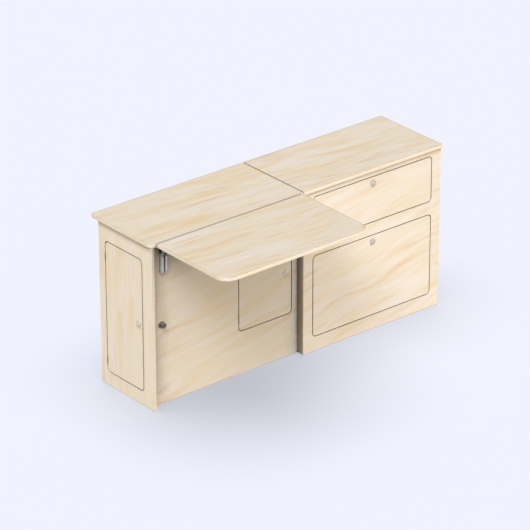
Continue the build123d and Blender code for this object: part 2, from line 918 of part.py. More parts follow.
# Folding brackets
leg_bottom = leg_top - leg_length
inner_leg = leg_width / 2 - leg_sheet
with BuildPart() as bracket_wall_legs:
    for middle in bracket_middles:
        leg_left = middle - leg_width / 2
        with BuildSketch(across(leg_left)):
            with BuildLine():
                Polyline(
                    *side_sketch_points(
                        [
                            (pivot_to_wall, leg_bottom),
                            (pivot_to_wall, leg_top),
                            (-leg_front, leg_top),
                            (-leg_front, leg_bottom + leg_front),
                            (0, leg_bottom),
                        ]
                    ),
                    close=True,
                )
            make_face()
            corner = sorted(vertices(), key=lambda v: v.Y - v.X)[-1]
            fillet(corner, leg_corner_round)
        extrude(amount=leg_width)
        block(
            (middle - inner_leg, pivot_y - leg_front + leg_sheet, pivot_z + leg_bottom - overrun),
            (middle + inner_leg, recess_front - leg_sheet, pivot_z + leg_top + overrun),
            mode=Mode.SUBTRACT,
        )
        block(
            (middle - inner_leg, pivot_y - leg_front - overrun, pivot_z - lip_top),
            (middle + inner_leg, pivot_y, pivot_z + leg_top + overrun),
            mode=Mode.SUBTRACT,
        )
        block(
            (middle - slot_width / 2, pivot_y - leg_front - overrun, pivot_z + leg_bottom - overrun),
            (middle + slot_width / 2, pivot_y, pivot_z),
            mode=Mode.SUBTRACT,
        )
        bore((leg_left - overrun, pivot_y, pivot_z), (1, 0, 0), pivot_pin_radius, 2 * leg_width)
        rod(
            (leg_left - overrun, pivot_y, pivot_z - leg_hole_drop),
            (1, 0, 0),
            leg_hole_radius,
            2 * leg_width,
            mode=Mode.SUBTRACT,
        )
    for x, y, z in leg_screw_places():
        bore((x, y - leg_sheet, z), (0, 1, 0), bracket_screw_radius, leg_sheet)
bracket_wall_legs.part.label = "bracket_wall_legs"
export_step(bracket_wall_legs.part, "parts/bracket_wall_legs.step")

with BuildPart() as bracket_pins:
    for middle in bracket_middles:
        shank = (middle - leg_width / 2, pivot_y, pivot_z)
        rod(shank, (1, 0, 0), pivot_pin_radius, leg_width)
        rod(shank, (-1, 0, 0), pin_head_radius, pin_head)
        rod((middle + leg_width / 2, pivot_y, pivot_z), (1, 0, 0), pin_head_radius, pin_head)
bracket_pins.part.label = "bracket_pins"
export_step(bracket_pins.part, "parts/bracket_pins.step")

with BuildPart() as bracket_leg_screws:
    for x, y, z in leg_screw_places():
        neck = (x, y - leg_sheet, z)
        rod(neck, (0, 1, 0), bracket_screw_radius, bracket_screw_length)
        rod(neck, (0, -1, 0), bracket_screw_head, screw_head_height)
bracket_leg_screws.part.label = "bracket_leg_screws"
export_step(bracket_leg_screws.part, "parts/bracket_leg_screws.step")

arm_start = pivot_y - (flap_back - arm_back_gap)
arm_end = arm_start + arm_length
web_top = pivot_drop - arm_flange
web_low = web_top - arm_web_depth
notch_clearance = button_clearance
with BuildPart() as bracket_arms:
    for middle in bracket_middles:
        with BuildSketch(across(middle - arm_web / 2)):
            with BuildLine():
                Polyline(
                    *side_sketch_points(
                        [
                            (0, ear_radius),
                            (-arm_start, web_top),
                            (-arm_end, web_top),
                            (-arm_end + arm_nose, web_low),
                            (0, web_low),
                        ]
                    ),
                    close=True,
                )
            make_face()
            with Locations(side_sketch_points([(0, 0)])):
                Circle(ear_radius)
        extrude(amount=arm_web)
        rod(
            (middle - inner_leg + notch_clearance, pivot_y, pivot_z),
            (1, 0, 0),
            boss_radius,
            2 * (inner_leg - notch_clearance),
        )
        block(
            (middle - leg_width / 2, pivot_y - arm_end, panel_top - arm_flange),
            (middle + leg_width / 2, pivot_y - arm_start, panel_top),
        )
        bore((middle - leg_width, pivot_y, pivot_z), (1, 0, 0), pivot_pin_radius, 2 * leg_width)
        locked_top = pivot_z - slide_top + slide_travel + notch_clearance
        block(
            (middle - arm_web, pivot_y + slide_front - notch_clearance, pivot_z - 2 * ear_radius),
            (middle + arm_web, pivot_y + slide_front + slide_thickness + overrun, locked_top),
            mode=Mode.SUBTRACT,
        )
    for x, y, z in arm_screw_places():
        bore((x, y, z - arm_flange), (0, 0, 1), bracket_screw_radius, arm_flange)
bracket_arms.part.label = "bracket_arms"
export_step(bracket_arms.part, "parts/bracket_arms.step")

with BuildPart() as bracket_arm_screws:
    for x, y, z in arm_screw_places():
        neck = (x, y, z - arm_flange)
        rod(neck, (0, 0, 1), bracket_screw_radius, bracket_screw_length)
        rod(neck, (0, 0, -1), bracket_screw_head, screw_head_height)
bracket_arm_screws.part.label = "bracket_arm_screws"
export_step(bracket_arm_screws.part, "parts/bracket_arm_screws.step")

slide_half = inner_leg - notch_clearance
for side, middle in zip(("left", "right"), bracket_middles):
    with BuildPart() as lock_slide:
        plate_front = pivot_y + slide_front
        plate_back = plate_front + slide_thickness
        shoulder = pivot_z - slide_top - slide_travel
        block(
            (middle - slide_half, plate_front, pivot_z - slide_bottom),
            (middle + slide_half, plate_back, shoulder),
        )
        block(
            (middle - tooth_width / 2, plate_front, shoulder),
            (middle + tooth_width / 2, plate_back, pivot_z - slide_top),
        )
        for sideways in (-1, 1):
            edges = sorted((middle + sideways * slide_tab_gap / 2, middle + sideways * slide_half))
            block(
                (edges[0], pivot_y - slide_tab_reach, pivot_z - slide_tab_drop - slide_thickness),
                (edges[1], plate_front, pivot_z - slide_tab_drop),
            )
    lock_slide.part.label = f"bracket_lock_slide_{side}"
    export_step(lock_slide.part, f"parts/bracket_lock_slide_{side}.step")

# Rubber buffer on the recess panel
with BuildPart() as flap_buffer:
    buffer_plane = Plane(
        origin=(inner_left + buffer_inset, recess_front, buffer_height_up),
        x_dir=(1, 0, 0),
        z_dir=(0, -1, 0),
    )
    with BuildSketch(buffer_plane):
        Circle(buffer_radius)
    extrude(amount=buffer_height)
    outer_rim = flap_buffer.edges().filter_by(GeomType.CIRCLE).sort_by(Axis.Y)[0]
    fillet(outer_rim, buffer_round)
    with BuildSketch(buffer_plane.offset(buffer_height - buffer_dish)):
        Circle(buffer_dish_radius)
    extrude(amount=buffer_dish, mode=Mode.SUBTRACT)
flap_buffer.part.label = "flap_buffer"
export_step(flap_buffer.part, "parts/flap_buffer.step")
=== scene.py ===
"""Looks of a van side cabinet: pale plywood, steel brackets, satin chrome push locks and a rubber buffer.

Metres, +Z up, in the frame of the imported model. X runs along the cabinet, and -Y is the flap's side.
"""

import logging
import math
from collections.abc import Callable, Iterator, Sequence
from dataclasses import dataclass, replace
from enum import Enum

import bmesh
import bpy
from mathutils import Matrix, Vector


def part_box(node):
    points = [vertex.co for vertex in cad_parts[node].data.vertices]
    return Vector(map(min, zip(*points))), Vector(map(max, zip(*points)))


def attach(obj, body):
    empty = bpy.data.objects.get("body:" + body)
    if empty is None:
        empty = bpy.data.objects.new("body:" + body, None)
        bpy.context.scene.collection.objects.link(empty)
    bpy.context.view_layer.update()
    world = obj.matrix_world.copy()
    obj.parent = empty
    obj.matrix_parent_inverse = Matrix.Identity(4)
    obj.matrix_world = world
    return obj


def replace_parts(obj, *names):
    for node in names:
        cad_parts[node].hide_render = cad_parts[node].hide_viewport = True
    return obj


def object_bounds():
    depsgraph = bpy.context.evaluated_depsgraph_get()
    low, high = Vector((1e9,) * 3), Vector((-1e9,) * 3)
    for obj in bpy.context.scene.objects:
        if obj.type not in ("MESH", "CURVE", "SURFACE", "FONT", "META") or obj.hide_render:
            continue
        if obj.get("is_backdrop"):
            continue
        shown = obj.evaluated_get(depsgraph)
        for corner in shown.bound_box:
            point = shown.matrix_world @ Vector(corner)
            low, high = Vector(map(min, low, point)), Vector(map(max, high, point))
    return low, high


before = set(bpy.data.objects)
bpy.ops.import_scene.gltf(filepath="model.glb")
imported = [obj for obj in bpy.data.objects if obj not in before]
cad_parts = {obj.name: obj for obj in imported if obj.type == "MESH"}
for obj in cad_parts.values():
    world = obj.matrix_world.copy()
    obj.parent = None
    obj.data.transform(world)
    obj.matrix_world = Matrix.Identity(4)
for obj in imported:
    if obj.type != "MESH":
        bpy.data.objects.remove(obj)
cad_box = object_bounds()
log = logging.getLogger("side_cabinet")

Socket = bpy.types.NodeSocket
Outputs = bpy.types.NodeOutputs
Material = bpy.types.Material
Mesh = bmesh.types.BMesh
Piece = bpy.types.Object
Feed = Socket | float | Sequence[float]
Inputs = dict[str | int, Feed]
Colour = tuple[float, float, float]
Span = tuple[float, float]

MM = 0.001


class Axis(Enum):
    """A direction of the cabinet: along it, front to back, or up."""

    X = 0
    Y = 1
    Z = 2


class Kind(Enum):
    """What a socket of a node group carries."""

    NUMBER = "NodeSocketFloat"
    VECTOR = "NodeSocketVector"


@dataclass(frozen=True)
class MixSockets:
    """Where a mixing node has its sockets for one kind of value, because the kinds share their names."""

    data_type: str
    first: int
    second: int
    result: int
    amount: int = 0


MIX_NUMBERS = MixSockets("FLOAT", first=2, second=3, result=0)
MIX_COLOURS = MixSockets("RGBA", first=6, second=7, result=2)

# How far a normal leans to one side, and how much of its half sphere the board itself then leaves open
LEAN = 0.95
OPEN_SHARE = 0.854

# How many rays each mask sends
SHELTER_SAMPLES = 10
GAP_SAMPLES = 4
RIM_LINE_SAMPLES = 6


@dataclass(frozen=True)
class Graph:
    """A shader tree in the making. Each method adds a node and gives back what it puts out."""

    tree: bpy.types.NodeTree

    def feed(self, socket: Socket, value: Feed) -> None:
        """Wires a socket to another one, or sets it to a value.

        Args:
            socket: The input that is fed.
            value: An output to wire it to, a number or a colour.
        """
        if isinstance(value, bpy.types.NodeSocket):
            self.tree.links.new(value, socket)
        elif socket.type == "RGBA":
            socket.default_value = (*value[:3], 1.0)
        else:
            socket.default_value = value

    def add(self, kind: str, inputs: Inputs | None = None, **settings: object) -> bpy.types.Node:
        """Adds a node, sets its properties and feeds its inputs.

        Args:
            kind: The node's type, without the words that all shader nodes start with.
            inputs: What goes into each input, by its name or number.
            settings: The node's own properties.

        Returns:
            The new node.
        """
        node = self.tree.nodes.new("ShaderNode" + kind)
        for name, value in settings.items():
            setattr(node, name, value)
        for key, value in (inputs or {}).items():
            self.feed(node.inputs[key], value)
        return node

    def math(self, operation: str, *values: Feed) -> Socket:
        """Gives the result of one sum of numbers."""
        return self.add("Math", dict(enumerate(values)), operation=operation).outputs[0]

    def point(self, x: Feed, y: Feed, z: Feed) -> Socket:
        """Gives a point from its three numbers."""
        return self.add("CombineXYZ", {0: x, 1: y, 2: z}).outputs[0]

    def parts(self, point: Socket) -> Outputs:
        """Gives the three numbers of a point."""
        return self.add("SeparateXYZ", {0: point}).outputs

    def scaled(self, point: Socket, scale: Feed) -> Socket:
        """Gives a point times one number, or each of its numbers times its own."""
        return self.add("VectorMath", {0: point, 1: scale}, operation="MULTIPLY").outputs[0]

    def fade(self, value: Feed, span: Span, low: Feed = 0.0, high: Feed = 1.0) -> Socket:
        """Gives a value that goes softly from low to high while another one goes through a span.

        Args:
            value: The value that is followed.
            span: Where the result is still low, and where it is high.
            low: The result at the start.
            high: The result at the end.

        Returns:
            The result, never outside low and high.
        """
        start, end = span
        inputs = {"Value": value, "From Min": start, "From Max": end, "To Min": low, "To Max": high}
        return self.add("MapRange", inputs, interpolation_type="SMOOTHSTEP").outputs["Result"]

    def noise(self, point: Socket, detail: float = 2.0) -> Socket:
        """Gives soft noise about a middle of one half.

        Args:
            point: Where the noise is read, in steps of one change each.
            detail: How many finer layers lie on it.

        Returns:
            The noise, from 0 to 1.
        """
        return self.add("TexNoise", {"Vector": point, "Scale": 1.0, "Detail": detail}).outputs["Fac"]

    def hidden_from(self, side: Sequence[float], reach: Feed) -> Socket:
        """Gives how much more stands before a face on one side of it than all round.

        Args:
            side: The side, as what the face's normal leans by.
            reach: How far it looks, in metres.

        Returns:
            About 0 where nothing stands out on that side, and more the nearer something does.
        """
        facing = self.add("NewGeometry").outputs["Normal"]
        leant = self.add("VectorMath", {0: facing, 1: side}, operation="ADD").outputs[0]
        leaning = self.add("VectorMath", {0: leant}, operation="NORMALIZE").outputs[0]
        around, beside = (
            self.add("AmbientOcclusion", {"Distance": reach, "Normal": normal}, samples=SHELTER_SAMPLES)
            for normal in (facing, leaning)
        )
        expected = self.math("MULTIPLY", around.outputs["AO"], OPEN_SHARE)
        return self.math("SUBTRACT", expected, beside.outputs["AO"])

    def mix(
        self, kind: MixSockets, amount: Feed, first: Feed, second: Feed, blend: str = "MIX"
    ) -> Socket:
        """Mixes two numbers or two colours.

        Args:
            kind: Whether numbers or colours are mixed.
            amount: How much of the second comes in, from 0 to 1.
            first: What the result is at 0.
            second: What comes in.
            blend: The way that a colour comes in.

        Returns:
            The mixed value.
        """
        inputs = {kind.amount: amount, kind.first: first, kind.second: second}
        return self.add("Mix", inputs, data_type=kind.data_type, blend_type=blend).outputs[kind.result]

    def shade(self, colour: Feed, tone: Feed, amount: Feed) -> Socket:
        """Gives a colour multiplied by a tone, as far as the amount says."""
        return self.mix(MIX_COLOURS, amount, colour, tone, "MULTIPLY")

    def between(self, amount: Feed, first: Feed, second: Feed) -> Socket:
        """Gives a number between two others."""
        return self.mix(MIX_NUMBERS, amount, first, second)


@dataclass(frozen=True)
class Effect:
    """A shader node group, built once and placed in each material with its own values."""

    name: str
    inputs: dict[str, Kind]
    outputs: dict[str, Kind]
    draw: Callable[[Graph, Outputs], dict[str, Socket]]

    def tree(self) -> bpy.types.NodeTree:
        """Gives the group's tree, which the first call builds.

        Returns:
            The node tree with its sockets and nodes.
        """
        built = bpy.data.node_groups.get(self.name)
        if built:
            return built
        tree = bpy.data.node_groups.new(self.name, "ShaderNodeTree")
        for name, kind in self.inputs.items():
            tree.interface.new_socket(name, in_out="INPUT", socket_type=kind.value)
        for name, kind in self.outputs.items():
            tree.interface.new_socket(name, in_out="OUTPUT", socket_type=kind.value)
        graph = Graph(tree)
        results = self.draw(graph, tree.nodes.new("NodeGroupInput").outputs)
        out = tree.nodes.new("NodeGroupOutput")
        for name, value in results.items():
            graph.feed(out.inputs[name], value)
        return tree

    def place(self, graph: Graph, inputs: dict[str, Feed]) -> Outputs:
        """Puts the effect in a material.

        Args:
            graph: The material's graph.
            inputs: What goes into each named input.

        Returns:
            The named outputs.
        """
        return graph.add("Group", inputs, node_tree=self.tree()).outputs


@dataclass(frozen=True)
class Streaks:
    """Noise drawn out along the grain, with the length, width and detail of a streak and its own shift."""

    length: float
    width: float
    detail: float
    shift: float = 0.0

    def draw(self, graph: Graph, along: Socket, across: Socket, layer: Socket) -> Socket:
        """Draws the streaks.

        Args:
            graph: The graph that gets them.
            along: The place along the grain.
            across: The place across the grain.
            layer: The slice of the noise that is read, before the shift.

        Returns:
            The noise, from 0 to 1.
        """
        stretched = graph.point(
            graph.math("DIVIDE", along, self.length),
            graph.math("DIVIDE", across, self.width),
            graph.math("ADD", layer, self.shift),
        )
        return graph.noise(stretched, self.detail)


# What bends the growth lines, and the streaks that follow them
NOISE_MIDDLE = 0.5
WANDER = Streaks(420 * MM, 160 * MM, detail=1.0)
ARCHES = Streaks(300 * MM, 240 * MM, detail=0.0, shift=7.3)
BROAD = Streaks(500 * MM, 60 * MM, detail=2.0, shift=11.1)
MIDDLE = Streaks(260 * MM, 34 * MM, detail=2.5, shift=23.7)
OTHER = Streaks(340 * MM, 38 * MM, detail=2.5, shift=37.9)
NARROW = Streaks(200 * MM, 20 * MM, detail=2.5, shift=41.3)
FIBRE = Streaks(30 * MM, 1 * MM, detail=2.0)

# Where each mask of the veneer is still empty and where it is full, in the noise that it follows
WARM_SPAN = (0.42, 0.68)
GREEN_SPAN = (0.44, 0.72)
PALE_SPAN = (0.54, 0.32)
DARK_SPAN = (0.49, 0.28)
NARROW_SHARE = 0.25

# The same for the other masks
GLUE_SPAN = (0.42, 0.49)
ROUNDED_SPAN = (0.98, 0.80)
GAP_SHADE_SPAN = (0.76, 0.36)
OVERHANG_SHADE_SPAN = (0.06, 0.24)
LEE_SPAN = (0.02, 0.36)
RIM_LINE_SPAN = (0.9995, 0.985)
LEVEL_SPAN = (0.95, 0.99)
CLOUD_SPAN = (0.30, 0.70)
SCRATCH_SPAN = (0.62, 0.78)

# How much the ends of a board take of the painted light on its sides
END_SHARE = 0.15

# How many times the upright and the level scratches change in one metre along each axis
UPRIGHT_SCRATCHES = (2200.0, 2200.0, 90.0)
LEVEL_SCRATCHES = (110.0, 110.0, 2600.0)


def draw_veneer(graph: Graph, given: Outputs) -> dict[str, Socket]:
    """Draws the figure of rotary-cut veneer: growth lines that wander, arch and carry soft streaks.

    Args:
        graph: The group's graph.
        given: The group's inputs.

    Returns:
        The masks of the warm, green, pale and dark streaks, and the fine fibre.
    """
    along, layer = given["Along"], given["Layer"]
    line = graph.math("MULTIPLY_ADD", along, given["Slope"], given["Across"])
    for bend, size in ((WANDER, "Sweep"), (ARCHES, "Arch")):
        shift = graph.math("SUBTRACT", bend.draw(graph, along, given["Across"], layer), NOISE_MIDDLE)
        line = graph.math("MULTIPLY_ADD", shift, given[size], line)
    kinds = (BROAD, MIDDLE, OTHER, NARROW, FIBRE)
    broad, middle, other, narrow, fibre = (kind.draw(graph, along, line, layer) for kind in kinds)
    return {
        "Warm": graph.fade(other, WARM_SPAN),
        "Green": graph.fade(middle, GREEN_SPAN),
        "Pale": graph.fade(broad, PALE_SPAN),
        "Dark": graph.fade(graph.between(NARROW_SHARE, middle, narrow), DARK_SPAN),
        "Fibre": fibre,
    }


def draw_plies(graph: Graph, given: Outputs) -> dict[str, Socket]:
    """Draws the layers that show on a cut edge: every other ply shows its end grain.

    Args:
        graph: The group's graph.
        given: The group's inputs.

    Returns:
        The ply's number, and the masks of the end grain, the glue lines and the board's sides.
    """
    share = graph.math("DIVIDE", given["Depth"], given["Thickness"])
    level = graph.math("MULTIPLY", share, given["Plies"])
    topmost = graph.math("SUBTRACT", given["Plies"], 0.5)
    held = graph.math("MAXIMUM", graph.math("MINIMUM", level, topmost), 0.0)
    ply = graph.math("FLOOR", held)
    turned = graph.math("MODULO", ply, 2.0)
    end_grain = graph.between(turned, given["Facing Along"], given["Facing Across"])
    away = graph.math("ABSOLUTE", graph.math("SUBTRACT", graph.math("FRACT", level), 0.5))
    edge = graph.math("MAXIMUM", given["Facing Along"], given["Facing Across"])
    glue = graph.math("MULTIPLY", graph.fade(away, GLUE_SPAN), edge)
    side = graph.math("MULTIPLY_ADD", given["Facing Along"], END_SHARE, given["Facing Across"])
    return {"Ply": ply, "End Grain": end_grain, "Glue": glue, "Side": side}


def draw_rounding(graph: Graph, given: Outputs) -> dict[str, Socket]:
    """Draws the mask of rounded edges, whose normal points along none of the three axes.

    Args:
        graph: The group's graph.
        given: The group's inputs.

    Returns:
        The mask, 1 in the middle of a rounded edge.
    """
    x, y, z = (graph.math("ABSOLUTE", part) for part in graph.parts(given["Normal"]))
    squarest = graph.math("MAXIMUM", graph.math("MAXIMUM", x, y), z)
    return {"Edge": graph.fade(squarest, ROUNDED_SPAN)}


def draw_crevices(graph: Graph, given: Outputs) -> dict[str, Socket]:
    """Draws the masks of painted shade: deep in narrow gaps, and on upright faces with something just above
    them.

    Args:
        graph: The group's graph.
        given: The group's inputs.

    Returns:
        The two masks, 1 deep in a gap and 1 right under what stands out above.
    """
    nearby = graph.add("AmbientOcclusion", {"Distance": given["Reach"]}, samples=GAP_SAMPLES).outputs["AO"]
    hidden = graph.hidden_from((0.0, 0.0, LEAN), given["Shelter"])
    return {"Gap Shade": graph.fade(nearby, GAP_SHADE_SPAN), "Overhang Shade": graph.fade(hidden, OVERHANG_SHADE_SPAN)}


def draw_lee(graph: Graph, given: Outputs) -> dict[str, Socket]:
    """Draws the mask of painted shadow on a face that lies behind something at its left, away from the
    brightest lamp.

    Args:
        graph: The group's graph.
        given: The group's inputs.

    Returns:
        The mask, 1 right beside what stands out at the left.
    """
    return {"Lee": graph.fade(graph.hidden_from((-LEAN, 0.0, 0.0), given["Reach"]), LEE_SPAN)}


def draw_rim_line(graph: Graph, given: Outputs) -> dict[str, Socket]:
    """Draws the mask of a fine dark line on a board's level face, just inside its edges.

    Args:
        graph: The group's graph.
        given: The group's inputs.

    Returns:
        The mask, 1 on the line.
    """
    facing = graph.add("NewGeometry").outputs["Normal"]
    eased = graph.add("Bevel", {"Radius": given["Width"]}, samples=RIM_LINE_SAMPLES).outputs["Normal"]
    same = graph.add("VectorMath", {0: facing, 1: eased}, operation="DOT_PRODUCT").outputs["Value"]
    near = graph.fade(same, RIM_LINE_SPAN)
    level = graph.fade(graph.math("ABSOLUTE", graph.parts(facing)[2]), LEVEL_SPAN)
    return {"Rim Line": graph.math("MULTIPLY", near, level)}


def draw_plating(graph: Graph, given: Outputs) -> dict[str, Socket]:
    """Draws plated or cast metal: cloudy patches, fine scratches and a fine grain.

    Args:
        graph: The group's graph.
        given: The group's inputs.

    Returns:
        The masks of the cloudy patches and the scratches, and the grain's height.
    """
    point = given["Point"]
    cloud, grain = (graph.noise(graph.scaled(point, given[name])) for name in ("Cloud", "Grain"))
    ways = (UPRIGHT_SCRATCHES, LEVEL_SCRATCHES)
    scratch = graph.math("MAXIMUM", *(graph.noise(graph.scaled(point, way), detail=1.0) for way in ways))
    return {
        "Cloud": graph.fade(cloud, CLOUD_SPAN),
        "Scratch": graph.fade(scratch, SCRATCH_SPAN),
        "Grain": grain,
    }


def numbers(*names: str) -> dict[str, Kind]:
    """Gives sockets that all carry numbers."""
    return {name: Kind.NUMBER for name in names}


VENEER = Effect(
    "veneer_figure",
    numbers("Along", "Across", "Layer", "Sweep", "Arch", "Slope"),
    numbers("Warm", "Green", "Pale", "Dark", "Fibre"),
    draw_veneer,
)
PLIES = Effect(
    "ply_edges",
    numbers("Depth", "Thickness", "Plies", "Facing Along", "Facing Across"),
    numbers("Ply", "End Grain", "Glue", "Side"),
    draw_plies,
)
ROUNDING = Effect("rounded_edges", {"Normal": Kind.VECTOR}, numbers("Edge"), draw_rounding)
CREVICES = Effect(
    "painted_crevice_shade",
    numbers("Reach", "Shelter"),
    numbers("Gap Shade", "Overhang Shade"),
    draw_crevices,
)
LEE = Effect("painted_lee_shadow", numbers("Reach"), numbers("Lee"), draw_lee)
RIM_LINES = Effect("rim_lines", numbers("Width"), numbers("Rim Line"), draw_rim_line)
PLATING = Effect(
    "plated_metal",
    {"Point": Kind.VECTOR, **numbers("Cloud", "Grain")},
    numbers("Cloud", "Scratch", "Grain"),
    draw_plating,
)


@dataclass(frozen=True)
class Surface:
    """A material in the making: its graph, its shader and where on the piece a point lies."""

    material: Material
    graph: Graph
    shader: bpy.types.Node
    place: Outputs

    @classmethod
    def start(cls, name: str) -> "Surface":
        """Makes a material with an empty shader.

        Args:
            name: The material's name.

        Returns:
            The surface, ready to be wired.
        """
        material = bpy.data.materials.new(name)
        material.use_nodes = True
        graph = Graph(material.node_tree)
        shader = material.node_tree.nodes["Principled BSDF"]
        return cls(material, graph, shader, graph.add("TexCoord").outputs)

    def wire(self, inputs: dict[str, Feed]) -> Material:
        """Feeds the shader's inputs and gives the material."""
        for name, value in inputs.items():
            self.graph.feed(self.shader.inputs[name], value)
        return self.material

    def bump(self, height: Socket, strength: float, depth: float) -> Socket:
        """Gives the normal of a surface with this height on it."""
        inputs = {"Height": height, "Strength": strength, "Distance": depth}
        return self.graph.add("Bump", inputs).outputs["Normal"]


@dataclass(frozen=True)
class Figure:
    """How the pattern of a face veneer runs: metres, apart from the slope and the contrast."""

    sweep: float
    arch: float
    slope: float
    contrast: float


class Figures(Enum):
    """The kinds of veneer that the boards are picked from."""

    STRAIGHT = Figure(sweep=0.06, arch=0.03, slope=0.07, contrast=1.0)
    WAVY = Figure(sweep=0.06, arch=0.07, slope=-0.16, contrast=0.88)
    QUIET = Figure(sweep=0.05, arch=0.0, slope=0.01, contrast=0.8)
    PLAIN = Figure(sweep=0.02, arch=0.0, slope=0.0, contrast=0.5)


@dataclass(frozen=True)
class WoodFinish:
    """Wood under a thin clear satin coat, or bare. Every tone after the first one multiplies it."""

    tone: Colour = (0.812, 0.704, 0.574)
    peach: Colour = (0.990, 0.925, 0.800)
    green: Colour = (0.955, 0.960, 0.900)
    pale: Colour = (1.010, 1.035, 1.100)
    brown: Colour = (0.915, 0.862, 0.765)
    end_tone: Colour = (1.000, 0.990, 0.980)
    glue_tone: Colour = (0.920, 0.890, 0.850)
    # Painted highlight on rounded edges
    edge_highlight: Colour = (1.080, 1.090, 1.110)
    # Painted light on the board's cut sides, none at 1
    side_light_tone: Colour = (1.0, 1.0, 1.0)
    # A fine dark line just inside the edges of level faces, none without a width
    rim_line_tone: Colour = (0.64, 0.61, 0.56)
    rim_line_width: float = 0.0
    # Painted shade deep in narrow gaps, and under what stands out above
    gap_shade_tone: Colour = (0.150, 0.110, 0.085)
    gap_reach: float = 8 * MM
    shade_tone: Colour = (0.42, 0.36, 0.30)
    shade_reach: float = 36 * MM
    # Painted shadow beside what stands out at the left, none without a reach
    lee_shadow_tone: Colour = (0.58, 0.57, 0.56)
    lee_reach: float = 0.0
    ply_step: float = 3.7
    fibre_span: Span = (0.50, 0.25)
    fibre_share: float = 0.35
    fibre_bump: float = 0.30
    fibre_depth: float = 0.08 * MM
    roughness: float = 0.50
    rougher: float = 0.08
    smoother: float = 0.04
    coat_span: Span = (0.2, 0.8)
    specular: float = 0.25

    def material(self, board: "Board", low: Vector, high: Vector) -> Material:
        """Makes the wood of one board.

        Args:
            board: Which way the board's grain and layers lie.
            low: The board's lowest corner.
            high: Its highest corner.

        Returns:
            The finished material.
        """
        surface = Surface.start(f"wood_{board.node}")
        graph = surface.graph
        spot = graph.parts(surface.place["Object"])
        facing = [graph.math("ABSOLUTE", part) for part in graph.parts(surface.place["Normal"])]
        along, across, up = board.grain.value, board.across.value, board.layers.value
        plies = PLIES.place(graph, {
            "Depth": graph.math("SUBTRACT", spot[up], low[up]),
            "Thickness": (high - low)[up],
            "Plies": float(board.plies),
            "Facing Along": facing[along],
            "Facing Across": facing[across],
        })
        figure = board.figure.value
        veneer = VENEER.place(graph, {
            "Along": spot[along],
            "Across": spot[across],
            "Layer": graph.math("MULTIPLY_ADD", plies["Ply"], self.ply_step, board.seed),
            "Sweep": figure.sweep,
            "Arch": figure.arch,
            "Slope": figure.slope,
        })
        edge = ROUNDING.place(graph, {"Normal": surface.place["Normal"]})["Edge"]
        colour: Feed = self.tone
        tones = {"Warm": self.peach, "Green": self.green, "Pale": self.pale, "Dark": self.brown}
        for mask, tone in tones.items():
            colour = graph.shade(colour, tone, graph.math("MULTIPLY", veneer[mask], figure.contrast))
        fibre = veneer["Fibre"]
        coarse = graph.fade(fibre, self.fibre_span, high=self.fibre_share)
        colour = graph.shade(colour, self.brown, coarse)
        colour = graph.shade(colour, self.end_tone, plies["End Grain"])
        colour = graph.shade(colour, self.glue_tone, plies["Glue"])
        # Painted light on the cut sides
        colour = graph.shade(colour, self.side_light_tone, plies["Side"])
        # Painted highlight on the rounded edges
        colour = graph.shade(colour, self.edge_highlight, edge)
        # A fine dark line just inside the edges of level faces
        if self.rim_line_width:
            joint = RIM_LINES.place(graph, {"Width": self.rim_line_width})["Rim Line"]
            colour = graph.shade(colour, self.rim_line_tone, joint)
        # Painted shadow beside what stands out at the left
        if self.lee_reach:
            lee = LEE.place(graph, {"Reach": self.lee_reach})["Lee"]
            colour = graph.shade(colour, self.lee_shadow_tone, lee)
        # Painted shade under what stands out above, and deep in gaps
        crevices = CREVICES.place(graph, {"Reach": self.gap_reach, "Shelter": self.shade_reach})
        colour = graph.shade(colour, self.shade_tone, crevices["Overhang Shade"])
        colour = graph.shade(colour, self.gap_shade_tone, crevices["Gap Shade"])
        rough, smooth = self.roughness + self.rougher, self.roughness - self.smoother
        return surface.wire({
            "Base Color": colour,
            "Roughness": graph.fade(fibre, self.coat_span, rough, smooth),
            "Specular IOR Level": self.specular,
            "Normal": surface.bump(fibre, self.fibre_bump, self.fibre_depth),
        })


